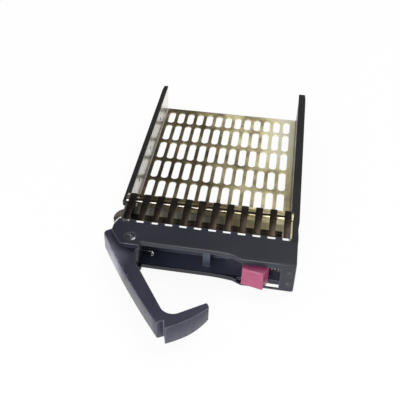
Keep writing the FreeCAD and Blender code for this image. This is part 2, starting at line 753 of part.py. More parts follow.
def lever_spring():
    """Torsion spring round the lever's neck: one leg in the lever, one in the bezel."""
    wire = spring_wire
    pitch = wire * 1.1
    turns = spring_turns + (180.0 - open_angle) / 360
    pivot = Vector(pivot_x, pivot_y, lever_bottom + 0.75)
    spring = coil(Vector(0, 0, 0), Vector(0, 0, 1), spring_coil_radius, wire, turns, pitch)
    spring = spring.mirror(Vector(0, 0, 0), Vector(1, 0, 0))
    spring.rotate(Vector(0, 0, 0), Vector(0, 0, 1), 90.0 - open_angle)
    spring.translate(pivot)
    rest = math.radians(270.0 - open_angle)
    way = math.radians(-open_angle - 9.0)
    foot = Vector(spring_coil_radius * math.cos(rest), spring_coil_radius * math.sin(rest), 0)
    toe = foot + Vector(math.cos(way), math.sin(way), 0) * (hub_radius + 1.6)
    leg = Vector(0, spring_coil_radius, pitch * turns)
    bend = leg + Vector(spring_leg - 1.8, -1.7, 0.6)
    end = bend + Vector(1.4, -0.4, -2.6)
    for a, b in ((foot, toe), (leg, bend), (bend, end)):
        lap = (b - a).normalize() * (wire / 2)
        spring = spring.fuse(rod(pivot + a - lap, pivot + b, wire / 2))
    return spring.fuse(Part.makeSphere(wire * 0.7, pivot + end))


# ================================================================ release button
def release_button():
    """A wedge to push on, a slider behind the opening and a foot in the guide slot."""
    left = button_left
    right = left + button_width
    front_right = left + button_front_width
    inside = block_inside + button_gap
    wedge = outline(
        on_xy(button_bottom), (left, inside + 1.0), (left, block_front - button_front_left),
        (front_right, block_front - button_front_right), (right, inside - 0.2),
        (right, inside + 1.0))
    body = wedge.extrude(Vector(0, 0, button_top - button_bottom))
    rims = [e for e in body.Edges if e.BoundBox.YMax < block_front - 1.0]
    body = body.makeFillet(0.45, rims)
    slider = box(left, right, inside, button_rear, cavity_bottom + button_gap,
                 cavity_top - button_gap)
    foot = box(left + 0.2, right - 0.8, guide_slot_front + button_gap / 2,
               guide_slot_rear - button_gap / 2, bezel_bottom + 0.3, cavity_bottom + 1)
    body = body.fuse(slider).fuse(foot)
    middle = (cavity_bottom + cavity_top) / 2
    well = rod(Vector(right - 3.4, return_spring_y, middle),
               Vector(right + 1, return_spring_y, middle),
               return_coil_radius + return_wire / 2 + 0.25)
    nose_left = pivot_x + math.sqrt(hook_radius ** 2 - 2.6 ** 2) + nose_clearance
    nose = box(nose_left, left + 0.1, pivot_y + 2.6, pivot_y + 4.6,
               lever_bottom + 3.4, lever_top - 2.8)
    return body.cut(well).fuse(nose)


def button_spring():
    """Compression spring that pushes the button back against the hook's side."""
    start = button_left + button_width - 3.4
    end = chamber_right
    middle = (cavity_bottom + cavity_top) / 2
    length = end - start
    pitch = (length - return_wire) / return_turns
    return coil(Vector(start + return_wire / 2, return_spring_y, middle), Vector(1, 0, 0),
                return_coil_radius, return_wire, return_turns, pitch)


def button_retainer():
    """Spring-steel plate, snapped in behind the button, that closes its chamber."""
    y0 = button_rear + button_gap
    shape = box(block_left + 0.5, chamber_right, y0, y0 + 0.8, cavity_bottom, cavity_top)
    relief = rounded_slot(0, 0, 2.4, 6.0, -1, 2)
    relief.Placement = Placement(Vector((button_left + chamber_right) / 2, y0,
                                        (cavity_bottom + cavity_top) / 2),
                                 Rotation(Vector(1, 0, 0), 90))
    return shape.cut(relief)


# ================================================================ light pipes
def light_pipe(heights):
    """A clear bar along the rail that steps down to its window in the bezel."""
    along, at_window = heights
    rear = front_screw_from_connector - 0.4
    turning_point = front_wall_front - 1.2
    front = block_inside + fit_gap
    turn = math.degrees(math.acos(1 - (along - at_window) / (2 * pipe_bend)))
    bends = 2 * pipe_bend * math.sin(math.radians(turn))
    inside = pipe_bend - pipe_height / 2
    section = folded(on_yz(pipe_left), (rear, along + pipe_height / 2), 180,
                     [(rear - turning_point,), (inside, turn), (inside, -turn),
                      (turning_point - bends - front,)], pipe_height)
    bar = section.extrude(Vector(pipe_width, 0, 0))
    half = window_width_led / 2 - fit_gap
    tall = window_height_led / 2 - fit_gap
    z0, z1 = at_window - tall, at_window + tall
    head = box(window_x - half, pipe_right, front, front + 3.5, z0, z1)
    lens = box(window_x - half, window_x + half, block_front + 0.2, front + 0.5, z0, z1)
    return bar.fuse(head).fuse(lens)


# ================================================================ the carrier
save("tray", tray())
save("bezel", bezel())
save("ejector_lever", ejector_lever())
save("lever_pin", lever_pin())
save("pin_retainer", pin_retainer())
save("lever_spring", lever_spring())
save("release_button", release_button())
save("button_spring", button_spring())
save("button_retainer", button_retainer())
save("top_emi_strip", top_emi_strip())
save("bottom_emi_strip", bottom_emi_strip())
save("left_emi_spring", side_emi_spring(-1))
save("right_emi_spring", side_emi_spring(1))
save("left_guide_rail", left_guide_rail())
save("right_guide_rail", right_guide_rail())
save("left_rail_rivets", rail_rivets(-1))
save("right_rail_rivets", rail_rivets(1))
save("left_bezel_rivets", bezel_rivets(-1))
save("right_bezel_rivets", bezel_rivets(1))
save("upper_light_pipe", light_pipe(upper_pipe_heights))
save("lower_light_pipe", light_pipe(lower_pipe_heights))
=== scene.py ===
# %% [markdown]
# # A hot-swap drive carrier
# The carrier is a folded sheet tray between two black rails, closed by a moulded bezel
# with a swinging ejector lever and a sliding release button. The solids come packed from
# the part's own source. This notebook gives them their finishes, rebuilds the repeated
# pieces with Geometry Nodes, and sets the light and the camera.

import json
import math

import bmesh
import bpy
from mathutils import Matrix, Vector


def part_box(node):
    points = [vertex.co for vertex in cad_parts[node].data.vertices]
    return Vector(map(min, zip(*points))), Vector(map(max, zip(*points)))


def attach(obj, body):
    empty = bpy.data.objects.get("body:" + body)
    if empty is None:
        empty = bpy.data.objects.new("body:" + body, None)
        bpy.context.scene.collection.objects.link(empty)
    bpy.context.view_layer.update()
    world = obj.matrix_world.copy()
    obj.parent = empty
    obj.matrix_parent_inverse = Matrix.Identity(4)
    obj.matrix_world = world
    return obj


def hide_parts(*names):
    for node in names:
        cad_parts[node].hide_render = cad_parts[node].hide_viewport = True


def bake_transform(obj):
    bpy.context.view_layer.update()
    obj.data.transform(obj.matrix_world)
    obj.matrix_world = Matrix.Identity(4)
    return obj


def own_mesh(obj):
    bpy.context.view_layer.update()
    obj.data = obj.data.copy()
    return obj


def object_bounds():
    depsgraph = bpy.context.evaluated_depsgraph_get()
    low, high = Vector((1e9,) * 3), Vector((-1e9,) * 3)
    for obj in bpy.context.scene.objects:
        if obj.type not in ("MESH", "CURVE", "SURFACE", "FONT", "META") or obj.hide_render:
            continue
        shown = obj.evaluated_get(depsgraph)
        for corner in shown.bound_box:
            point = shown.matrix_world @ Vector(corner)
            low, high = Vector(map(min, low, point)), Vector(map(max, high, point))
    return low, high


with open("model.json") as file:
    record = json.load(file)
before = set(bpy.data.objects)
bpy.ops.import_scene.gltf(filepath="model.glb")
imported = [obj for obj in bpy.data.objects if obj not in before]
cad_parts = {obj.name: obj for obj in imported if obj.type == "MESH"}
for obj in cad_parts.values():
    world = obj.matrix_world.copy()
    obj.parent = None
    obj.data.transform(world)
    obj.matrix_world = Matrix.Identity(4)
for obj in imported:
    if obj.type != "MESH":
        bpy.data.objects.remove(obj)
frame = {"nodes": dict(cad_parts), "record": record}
record = frame["record"]
cad_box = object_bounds()
MM = 0.001

# %% [markdown]
# ## The camera
# It looks down at the front from a little to the right, close to the height at which
# such a part lies on a bench in front of you. A long lens keeps the perspective mild.
# The small shift only frames the object, so depth of field stays off.

# %% Camera
camera_data = bpy.data.cameras.new("camera")
camera_data.lens = 61.22
camera_data.sensor_width = 36.0
camera_data.shift_x = 0.0862
camera_data.shift_y = -0.0821
camera_data.clip_start = 0.01
camera = bpy.data.objects.new("camera", camera_data)
camera.location = Vector((23.77, -230.93, 214.07)) * MM
camera.rotation_euler = [math.radians(a) for a in (51.691, 0.424, 10.605)]
bpy.context.scene.collection.objects.link(camera)
bpy.context.scene.camera = camera
print("camera at", [round(v, 4) for v in camera.location])

# %% [markdown]
# ## Small helpers for materials
# Colours are written as the hex values a paint chart gives, so one function turns them
# into the linear values that shaders expect. A second one adds a node: its settings are
# the node's own properties, and its inputs are numbers, colours or other nodes' sockets.
# A list of sockets joins an input that takes several. The short functions after it call
# it for the sums, ranges and mixtures that every material needs.


# %% Colour and node helpers
def linear(code):
    """An sRGB hex colour as linear RGBA."""
    parts = [int(code[i:i + 2], 16) / 255 for i in (1, 3, 5)]
    return tuple(p / 12.92 if p <= 0.04045 else ((p + 0.055) / 1.055) ** 2.4
                 for p in parts) + (1.0,)


def node(tree, kind, inputs=None, **settings):
    """Adds one node and returns it; inputs are keyed by name or by number."""
    made = tree.nodes.new(kind)
    for key, value in settings.items():
        setattr(made, key, value)
    for key, value in (inputs or {}).items():
        for one in value if isinstance(value, list) else [value]:
            if isinstance(one, bpy.types.NodeSocket):
                tree.links.new(one, made.inputs[key])
            else:
                made.inputs[key].default_value = one
    return made


def math_node(tree, operation, *values):
    """The result of one sum or comparison."""
    return node(tree, "ShaderNodeMath", dict(enumerate(values)),
                operation=operation).outputs[0]


def ranged(tree, value, source=(0.0, 1.0), target=(0.0, 1.0)):
    """A value carried from one range to another, and held at its ends."""
    return node(tree, "ShaderNodeMapRange", {
        "Value": value, "From Min": source[0], "From Max": source[1],
        "To Min": target[0], "To Max": target[1]}).outputs[0]


def mixed(tree, share, first, second):
    """Two colours mixed, with the given share of the second."""
    return node(tree, "ShaderNodeMix", {0: share, 6: first, 7: second},
                data_type="RGBA").outputs[2]


def ramp(tree, factor, stops):
    """A colour ramp through (place, hex colour) stops."""
    made = node(tree, "ShaderNodeValToRGB", {"Fac": factor})
    elements = made.color_ramp.elements
    while len(elements) < len(stops):
        elements.new(0.5)
    for element, (place, code) in zip(elements, stops):
        element.position = place
        element.color = linear(code)
    return made.outputs["Color"]


def noise(tree, place, size_mm, detail, **inputs):
    """Noise whose patches are about size_mm across."""
    return node(tree, "ShaderNodeTexNoise", {"Vector": place, "Scale": 1 / (size_mm * MM),
                                             "Detail": detail, **inputs}).outputs["Fac"]


def new_material(name):
    """An empty material with its output, and the object's own coordinates in metres."""
    material = bpy.data.materials.new(name)
    material.use_nodes = True
    tree = material.node_tree
    tree.nodes.clear()
    output = node(tree, "ShaderNodeOutputMaterial")
    place = node(tree, "ShaderNodeTexCoord").outputs["Object"]
    return material, tree, output, place


print("mid grey is", round(linear("#808080")[0], 3), "in linear light")

# %% [markdown]
# ## Moulded plastic
# The bezel and lever are PC/ABS, moulded in a spark-eroded tool. That leaves a fine grain
# about a quarter of a millimetre across, which scatters highlights into a soft sheen. Its
# colour drifts a little. Noise at two scales gives the drift and the grain. The edges get
# a painted highlight, a lighter tone: a Bevel node gives the softened normal, and where
# that turns away from the real one there is an edge. The lever's heel gets a painted
# highlight, a paler patch. That tone fades with the distance from the heel and is strongest
# on upright faces. The bezel's inner faces get painted light, a paler tone, and three
# comparisons on the object's own coordinates find the space between its plates.


# %% Masks for painted highlights and painted inner light
# Painted edge highlight: a lighter tone where the softened normal turns, standing in for
# the light that edges catch.
def painted_edge_highlight(tree, softened, facing, drift, highlight_strength):
    """High where the softened normal has turned away from the real one."""
    turned = node(tree, "ShaderNodeVectorMath", {0: softened, 1: facing},
                  operation="DOT_PRODUCT").outputs["Value"]
    edge = ranged(tree, turned, source=(0.99, 0.80), target=(0.0, highlight_strength))
    return math_node(tree, "MULTIPLY", edge, drift)


def painted_heel_highlight(tree, place, facing, centre, reach):
    """High round the heel's painted highlight, and less on faces that lie flat."""
    away = node(tree, "ShaderNodeVectorMath", {0: place, 1: centre},
                operation="DISTANCE").outputs["Value"]
    near = ranged(tree, away, source=(reach * 0.2, reach), target=(0.9, 0.0))
    lying = node(tree, "ShaderNodeSeparateXYZ", {0: facing}).outputs["Z"]
    upright = ranged(tree, lying, source=(0.2, 0.7), target=(1.0, 0.3))
    return math_node(tree, "MULTIPLY", near, upright)


def within(tree, place, limits):
    """One inside a box of (axis, low, high) limits in millimetres, and zero outside."""
    axes = node(tree, "ShaderNodeSeparateXYZ", {0: place})
    share = 1.0
    for axis, low, high in limits:
        middle, half = (low + high) / 2 * MM, (high - low) / 2 * MM
        between = math_node(tree, "COMPARE", axes.outputs[axis], middle, half)
        share = math_node(tree, "MULTIPLY", share, between)
    return share


# The masks are the painted edge highlight, the painted highlight on the lever's heel and
# the painted light between the bezel's plates.
print("masks: rubbed edges, scuff, inner faces")


# %% Moulded plastics
DRIFT_MM, GRAIN_MM = 18, 0.28


def moulded(name, dark, light, highlight_tone, roughness, edge_mm=0.5, heel_highlight=None, inside=None):
    """A moulding: dark and light are the drift of its colour, and the third is its painted
    highlight tone.
    """
    material, tree, output, place = new_material(name)
    drift = noise(tree, place, DRIFT_MM, 4.0, Roughness=0.6)
    grain = noise(tree, place, GRAIN_MM, 2.0)
    softened = node(tree, "ShaderNodeBevel", {"Radius": edge_mm * MM}, samples=6).outputs[0]
    facing = node(tree, "ShaderNodeNewGeometry").outputs["Normal"]

    body = ramp(tree, drift, [(0.32, dark), (0.68, light)])
    # Painted light: the space between the bezel's plates gets a paler tone, standing in for
    # light that reaches into it.
    if inside:
        limits, painted_inner_light = inside
        body = mixed(tree, within(tree, place, limits), body, linear(painted_inner_light))
    # Painted highlights: a lighter tone on the edges, and on the lever's heel where one is
    # given.
    painted_highlights = painted_edge_highlight(tree, softened, facing, drift, highlight_strength=0.8)
    # Painted highlight round the lever's heel, strongest on upright faces.
    if heel_highlight:
        painted_highlights = math_node(tree, "MAXIMUM", painted_highlights, painted_heel_highlight(tree, place, facing, *heel_highlight))
    colour = mixed(tree, painted_highlights, body, linear(highlight_tone))

    sheen = ranged(tree, drift, target=(roughness - 0.06, roughness + 0.08))
    relief = node(tree, "ShaderNodeBump", {"Height": grain, "Strength": 0.12,
                                           "Distance": 0.05 * MM, "Normal": softened})
    shader = node(tree, "ShaderNodeBsdfPrincipled", {
        "Base Color": colour, "Roughness": sheen, "IOR": 1.52, "Normal": relief.outputs[0]})
    tree.links.new(shader.outputs[0], output.inputs[0])
    return material


# The lever's painted highlight is centred here, on its heel near the hinge.
lever_low, lever_high = (Vector(corner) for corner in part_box("ejector_lever"))
heel = (lever_low.x + 2 * MM, lever_high.y - 17 * MM, 9 * MM)
bezel_low, bezel_high = (Vector(corner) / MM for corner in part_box("bezel"))
plate, side_wall, front_lip, rear_block = 2.1, 1.0, 3.2, 8.0
# The hollow between the bezel's plates, where the painted light goes.
hollow = [("X", bezel_low.x - side_wall, bezel_high.x - side_wall),
          ("Y", bezel_low.y + front_lip, bezel_high.y - rear_block),
          ("Z", bezel_low.z + plate, bezel_high.z - plate)]
# Each third colour is the tone of the painted edge highlight; the lever's also gives its
# heel a painted highlight, and the bezel's inner tone is painted light.
pc_abs_dark = moulded("pc_abs_slate_spark_grained", "#141725", "#1C1F2C", "#8C8C98",
                      roughness=0.36, inside=(hollow, "#3E4354"))
pc_abs_lever = moulded("pc_abs_slate_lever", "#272738", "#323244", "#B4B0BC",
                       roughness=0.30, heel_highlight=(heel, 13 * MM))
nylon_black = moulded("glass_filled_nylon_black", "#0A0908", "#131210", "#4A4741",
                      roughness=0.36)
abs_maroon = moulded("abs_maroon_moulded", "#8A3556", "#9C4868", "#C58CA4",
                     roughness=0.34, edge_mm=0.6)
print("plastics:", [m.name for m in (pc_abs_dark, pc_abs_lever, nylon_black, abs_maroon)])

# %% [markdown]
# ## Plated sheet
# The tray is thin steel with a yellow-olive passivated zinc plating. The metal shows
# through as a satin reflection, while the film varies in thickness, so it runs from dark
# olive to pale straw. A painted reflection also makes it paler from left to right and
# toward the back, and gives the left wall a pale tone and the right wall a dark one. The
# pale end is also given a lower Metallic value, which makes it look milky. The front wall
# is dark with painted shade, but for its right end, which has a painted reflection. These
# tones are given one by one. Noise stretched along Y gives fine rolling streaks, and the
# object's own coordinates give the drift and find the walls.


# %% Plated metals
STREAK_MM, STREAK_STRETCH, WALL_FADE = 0.5, 0.12, 1.012


def plated(name, stops, patch_mm, roughness=0.3, painted_light_lean=(0.0, 0.0), painted_wall_reflections=(), painted_front_light=None,
           milky=None):
    """A plated metal; stops are the film's tones, and the slopes per metre add a painted
    reflection.
    """
    material, tree, output, place = new_material(name)
    cloud = noise(tree, place, patch_mm, 5.0, Roughness=0.62)
    drawn_out = node(tree, "ShaderNodeMapping",
                     {"Vector": place, "Scale": (1.0, STREAK_STRETCH, 1.0)})
    streak = noise(tree, drawn_out.outputs[0], STREAK_MM, 3.0)
    axes = node(tree, "ShaderNodeSeparateXYZ", {0: place}).outputs
    # Painted reflection: the film gets paler toward +X and +Y by these slopes; the cloud is
    # the film's own variation.
    across = math_node(tree, "MULTIPLY", axes["X"], painted_light_lean[0])
    drift = math_node(tree, "MULTIPLY_ADD", axes["Y"], painted_light_lean[1], across)
    film_and_painted_lean = math_node(tree, "ADD", cloud, drift)

    colour = ramp(tree, film_and_painted_lean, stops)
    # Painted reflections on the side walls: a pale one on the left, a dark one on the
    # right.
    for wall_x, wall_reflection_tone in painted_wall_reflections:
        beyond = ranged(tree, axes["X"], source=(wall_x * MM, wall_x * WALL_FADE * MM))
        colour = mixed(tree, beyond, colour, linear(wall_reflection_tone))
    # Painted shade over most of the front's width, and a painted reflection at its right
    # end.
    if painted_front_light:
        front_y, half_width, painted_front_stops = painted_front_light
        before = math_node(tree, "LESS_THAN", axes["Y"], front_y * MM)
        sideways = ranged(tree, axes["X"], source=(-half_width * MM, half_width * MM))
        colour = mixed(tree, before, colour, ramp(tree, sideways, painted_front_stops))

    satin = ranged(tree, streak, target=(roughness - 0.07, roughness + 0.1))
    softened = node(tree, "ShaderNodeBevel", {"Radius": 0.25 * MM}, samples=4).outputs[0]
    relief = node(tree, "ShaderNodeBump", {"Height": streak, "Strength": 0.05,
                                           "Distance": 0.03 * MM, "Normal": softened})
    bare = 1.0 if milky is None else ranged(tree, film_and_painted_lean, (0.5, 0.75), (1.0, milky))
    shader = node(tree, "ShaderNodeBsdfPrincipled", {
        "Base Color": colour, "Metallic": bare, "Roughness": satin,
        "Normal": relief.outputs[0]})
    tree.links.new(shader.outputs[0], output.inputs[0])
    return material


# The tray's slopes, its walls and its front are painted reflection and painted shade.
zinc_sheet = plated(
    "zinc_plated_sheet_olive_passivated",
    [(0.2, "#3A3328"), (0.42, "#7C7054"), (0.60, "#BDB088"), (0.74, "#F4EAB8"),
     (0.9, "#FFFBE0")],
    patch_mm=22, painted_light_lean=(7.0, 1.5), milky=0.35,
    painted_wall_reflections=((-35.3, "#F2EEE8"), (35.3, "#6A5E4C")),
    painted_front_light=(-8.2, 36, [(0.0, "#8A847C"), (0.55, "#767062"), (0.78, "#A0946C"),
                      (0.88, "#F0E6AC"), (1.0, "#FFF8D0")]))
# The fingers' slope is a painted reflection too, paler to the right.
finger_steel = plated("spring_steel_fingers_tin_plated",
                      [(0.3, "#2A2422"), (0.6, "#40382F"), (0.9, "#5A4F3A")],
                      patch_mm=9, painted_light_lean=(1.0, 0.0))
bright_wire = plated("stainless_spring_wire_drawn",
                     [(0.3, "#B8B6B2"), (0.7, "#F0EEEA")], patch_mm=3, roughness=0.24)
turned_steel = plated("turned_steel_pin_bright",
                      [(0.3, "#4A4A50"), (0.7, "#8A8A8E")], patch_mm=2, roughness=0.22)
print("metals:", [m.name for m in (zinc_sheet, finger_steel, bright_wire, turned_steel)])

# %% [markdown]
# ## Clear polycarbonate
# The two light pipes are clear polycarbonate, moulded with polished faces. They carry
# the light of lamps in the bay to the bezel's windows. They look smoky where they sit
# between dark walls, and that shade is painted into them as a grey tint.

# %% Light pipe plastic
polycarbonate, tree, output, place = new_material("polycarbonate_clear_moulded")
haze = noise(tree, place, 4, 3.0)
# Painted shade: a grey tint standing in for the dark walls round the pipes.
painted_smoky_shade = ramp(tree, haze, [(0.3, "#5A5D66"), (0.7, "#7E818A")])
shader = node(tree, "ShaderNodeBsdfPrincipled", {
    "Base Color": painted_smoky_shade, "Roughness": 0.12, "IOR": 1.585, "Transmission Weight": 0.85})
tree.links.new(shader.outputs[0], output.inputs[0])
print("clear plastic:", polycarbonate.name)

# %% [markdown]
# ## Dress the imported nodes
# Each node keeps its exact shape and takes the finish of its real material.

# %% Assign finishes
FINISHES = {
    "tray": zinc_sheet, "bezel": pc_abs_dark, "ejector_lever": pc_abs_lever,
    "lever_pin": turned_steel, "pin_retainer": bright_wire, "lever_spring": bright_wire,
    "release_button": abs_maroon, "button_spring": bright_wire,
    "button_retainer": bright_wire, "top_emi_strip": finger_steel,
    "bottom_emi_strip": finger_steel, "left_emi_spring": bright_wire,
    "right_emi_spring": bright_wire, "left_guide_rail": nylon_black,
    "right_guide_rail": nylon_black, "upper_light_pipe": polycarbonate,
    "lower_light_pipe": polycarbonate, "left_rail_rivets": turned_steel,
    "right_rail_rivets": turned_steel, "left_bezel_rivets": turned_steel,
    "right_bezel_rivets": turned_steel,
}
for name, material in FINISHES.items():
    mesh = frame["nodes"][name].data
    mesh.materials.clear()
    mesh.materials.append(material)
print("dressed", len(FINISHES), "nodes")

# %% [markdown]
# ## Softened edges
# A mould has no sharp corners: every edge of the bezel, lever, button and rails has a
# radius of a few tenths of a millimetre, and that thin radius is what catches the light.
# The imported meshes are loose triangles, so each copy is welded first and its flat faces
# are joined, and then a Bevel modifier rounds the edges that turn by more than 40 degrees.


# %% Softened copies
def softened_copy(name, width_mm):
    """A welded copy of a node's mesh with its sharp edges rounded."""
    mesh = frame["nodes"][name].data.copy()
    mesh.name = "softened_" + name
    shape = bmesh.new()
    shape.from_mesh(mesh)
    bmesh.ops.remove_doubles(shape, verts=shape.verts, dist=0.002 * MM)
    bmesh.ops.dissolve_limit(shape, angle_limit=math.radians(1.0), verts=shape.verts,
                             edges=shape.edges)
    shape.to_mesh(mesh)
    shape.free()
    made = bpy.data.objects.new("softened_" + name, mesh)
    bpy.context.scene.collection.objects.link(made)
    rounding = made.modifiers.new("edge_radius", "BEVEL")
    rounding.width = width_mm * MM
    rounding.segments = 2
    rounding.limit_method = "ANGLE"
    rounding.angle_limit = math.radians(40)
    rounding.use_clamp_overlap = True
    rounding.harden_normals = True
    finished = bpy.data.meshes.new_from_object(
        made.evaluated_get(bpy.context.evaluated_depsgraph_get()))
    made.modifiers.remove(rounding)
    made.data = finished
    return made


SOFTENED = {"bezel": (0.22, "carrier", "bezel_plastic"),
            "ejector_lever": (0.35, "lever", "lever_plastic"),
            "release_button": (0.30, "button", "button_plastic"),
            "left_guide_rail": (0.20, "carrier", "rail_plastic"),
            "right_guide_rail": (0.20, "carrier", "rail_plastic")}
for name, (width_mm, body, slot) in SOFTENED.items():
    piece = softened_copy(name, width_mm)
    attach(piece, body)
    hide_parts(name)
    print(piece.name, len(piece.data.polygons), "faces")

# %% [markdown]
# ## Contact fingers
# Twelve bowed fingers of 0.2 mm spring steel reach from the folded edge to the bezel and
# close the gap to the bay electrically. They are one shape repeated along a line, which
# is what Geometry Nodes are best at. The tree bends a narrow grid with two terms: a bow,
# 4t(1-t), and a drop, t squared, where t runs along the finger. Extruding the bent grid
# gives the sheet's thickness, and a flat spine joins the fingers near their roots.


# %% A small kit for node trees
def geometry_tree(name, inputs):
    """A geometry tree whose named inputs are (name, socket kind, value)."""
    tree = bpy.data.node_groups.new(name, "GeometryNodeTree")
    tree.interface.new_socket("Geometry", in_out="INPUT", socket_type="NodeSocketGeometry")
    for label, kind, value in inputs:
        socket = tree.interface.new_socket(label, in_out="INPUT",
                                           socket_type="NodeSocket" + kind)
        if value is not None:
            socket.default_value = value
    tree.interface.new_socket("Geometry", in_out="OUTPUT", socket_type="NodeSocketGeometry")
    return tree, node(tree, "NodeGroupInput").outputs


def grown(name, tree, values):
    """Runs a geometry tree on an empty mesh and keeps the result as a plain mesh."""
    made = bpy.data.objects.new(name, bpy.data.meshes.new(name + "_seed"))
    bpy.context.scene.collection.objects.link(made)
    modifier = made.modifiers.new("tree", "NODES")
    modifier.node_group = tree
    sockets = {item.name: item.identifier for item in tree.interface.items_tree
               if item.in_out == "INPUT"}
    for label, value in values.items():
        modifier[sockets[label]] = value
    finished = bpy.data.meshes.new_from_object(
        made.evaluated_get(bpy.context.evaluated_depsgraph_get()))
    finished.name = name
    made.modifiers.remove(modifier)
    made.data = finished
    return made


def thickened(tree, sheet, thickness):
    """A sheet's top and rim from an extrusion, closed below by the sheet turned over."""
    risen = node(tree, "GeometryNodeExtrudeMesh", {"Mesh": sheet, "Offset Scale": thickness,
                                                   "Individual": False})
    under = node(tree, "GeometryNodeFlipFaces", {"Mesh": sheet})
    both = node(tree, "GeometryNodeJoinGeometry",
                {0: [risen.outputs["Mesh"], under.outputs[0]]})
    return node(tree, "GeometryNodeMergeByDistance",
                {"Geometry": both.outputs[0], "Distance": 0.001 * MM}).outputs[0]


def finished_tree(tree, geometry, steel):
    """Ends a tree: instances become real mesh, which takes its material."""
    real = node(tree, "GeometryNodeRealizeInstances", {"Geometry": geometry})
    coated = node(tree, "GeometryNodeSetMaterial", {"Geometry": real.outputs[0],
                                                    "Material": steel})
    node(tree, "NodeGroupOutput", {0: coated.outputs[0]})


print("tree kit ready")

# %% [markdown]
# The grid's own coordinates say how far along and across the finger each point is. From
# those two come its bow, its drop and a slight crown across its width, and it narrows a
# little toward its free end.

# %% One contact finger
fingers, given = geometry_tree("contact_fingers", [
    ("Count", "Int", 12), ("Pitch", "Float", 0.006), ("Width", "Float", 0.003),
    ("Length", "Float", 0.017), ("Thickness", "Float", 0.0002), ("Bow", "Float", 0.001),
    ("Drop", "Float", 0.001), ("Crown", "Float", 0.00012), ("Root", "Vector", None),
    ("Steel", "Material", None)])
blade = node(fingers, "GeometryNodeMeshGrid", {
    "Size X": given["Width"], "Size Y": given["Length"], "Vertices X": 7, "Vertices Y": 24})
spot = node(fingers, "ShaderNodeSeparateXYZ",
            {0: node(fingers, "GeometryNodeInputPosition").outputs[0]}).outputs
along = math_node(fingers, "SUBTRACT", 0.5,
                  math_node(fingers, "DIVIDE", spot["Y"], given["Length"]))
across = math_node(fingers, "DIVIDE", spot["X"], given["Width"])
bow = math_node(fingers, "MULTIPLY", math_node(fingers, "MULTIPLY", along, 4.0),
                math_node(fingers, "SUBTRACT", 1.0, along))
drop = math_node(fingers, "MULTIPLY", along, along)
crown = math_node(fingers, "SUBTRACT", 1.0, math_node(
    fingers, "MULTIPLY", 4.0, math_node(fingers, "MULTIPLY", across, across)))
rise = math_node(fingers, "SUBTRACT", math_node(fingers, "MULTIPLY", bow, given["Bow"]),
                 math_node(fingers, "MULTIPLY", drop, given["Drop"]))
rise = math_node(fingers, "ADD", rise,
                 math_node(fingers, "MULTIPLY", crown, given["Crown"]))
TAPER = 0.12
narrowed = math_node(fingers, "MULTIPLY", spot["X"], math_node(
    fingers, "SUBTRACT", 1.0, math_node(fingers, "MULTIPLY", drop, TAPER)))
backward = math_node(fingers, "MULTIPLY", given["Length"], -1.0)
bent_place = node(fingers, "ShaderNodeCombineXYZ", {
    "X": narrowed, "Y": math_node(fingers, "MULTIPLY", along, backward), "Z": rise})
bent = node(fingers, "GeometryNodeSetPosition", {"Geometry": blade.outputs["Mesh"],
                                                 "Position": bent_place.outputs[0]})
finger = thickened(fingers, bent.outputs[0], given["Thickness"])
print("one finger:", len(fingers.nodes), "nodes")

# %% [markdown]
# A Mesh Line holds one point for each finger, and Instance on Points sets a finger on each.
# The flat spine runs under all of them, a little way in from their roots.

# %% The row of fingers
SPINE_WIDTH, SPINE_IN = 1.1 * MM, 3.75 * MM
span = math_node(fingers, "MULTIPLY", given["Pitch"],
                 math_node(fingers, "SUBTRACT", given["Count"], 1.0))
first = node(fingers, "ShaderNodeCombineXYZ",
             {"X": math_node(fingers, "MULTIPLY", span, -0.5)})
step = node(fingers, "ShaderNodeCombineXYZ", {"X": given["Pitch"]})
line = node(fingers, "GeometryNodeMeshLine", {
    "Count": given["Count"], "Start Location": first.outputs[0],
    "Offset": step.outputs[0]})
repeated = node(fingers, "GeometryNodeInstanceOnPoints", {"Points": line.outputs[0],
                                                          "Instance": finger})
spine = node(fingers, "GeometryNodeMeshGrid", {
    "Size X": math_node(fingers, "ADD", span, given["Width"]), "Size Y": SPINE_WIDTH,
    "Vertices X": 2, "Vertices Y": 2})
inward = node(fingers, "ShaderNodeCombineXYZ", {"Y": -SPINE_IN})
spine_place = node(fingers, "GeometryNodeTransform", {"Geometry": spine.outputs["Mesh"],
                                                      "Translation": inward.outputs[0]})
backbone = thickened(fingers, spine_place.outputs[0], given["Thickness"])
strip = node(fingers, "GeometryNodeJoinGeometry", {0: [repeated.outputs[0], backbone]})
placed = node(fingers, "GeometryNodeTransform", {"Geometry": strip.outputs[0],
                                                 "Translation": given["Root"]})
finished_tree(fingers, placed.outputs[0], given["Steel"])
print("row of fingers:", len(fingers.nodes), "nodes")

# %% [markdown]
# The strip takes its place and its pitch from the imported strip's box. It stops 0.9 mm
# short of that box at the front, which leaves the gaps behind the bezel open.

# %% Contact finger strip
low, high = (Vector(corner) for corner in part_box("top_emi_strip"))
finger_count, finger_width, short_by, below_top = 12, 3.0 * MM, 0.9 * MM, 0.82 * MM
strip_piece = grown("contact_finger_strip", fingers, {
    "Count": finger_count, "Width": finger_width, "Length": high.y - low.y - short_by,
    "Pitch": (high.x - low.x - finger_width) / (finger_count - 1),
    "Thickness": 0.2 * MM, "Bow": 0.55 * MM, "Drop": 0.95 * MM, "Crown": 0.1 * MM,
    "Root": ((low.x + high.x) / 2, high.y, high.z - below_top), "Steel": finger_steel})
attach(strip_piece, "carrier")
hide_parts("top_emi_strip")
print("fingers:", len(strip_piece.data.polygons), "faces,",
      [round(v / MM, 2) for v in strip_piece.dimensions], "mm")

# %% [markdown]
# ## Rivets
# The rails and the bezel's arms are held by small domed rivets. A head is a sphere
# flattened along its axis, and its shank is a plain cylinder that goes into the sheet. The
# tree joins the two and sets them on a row of points, turned to face outwards.

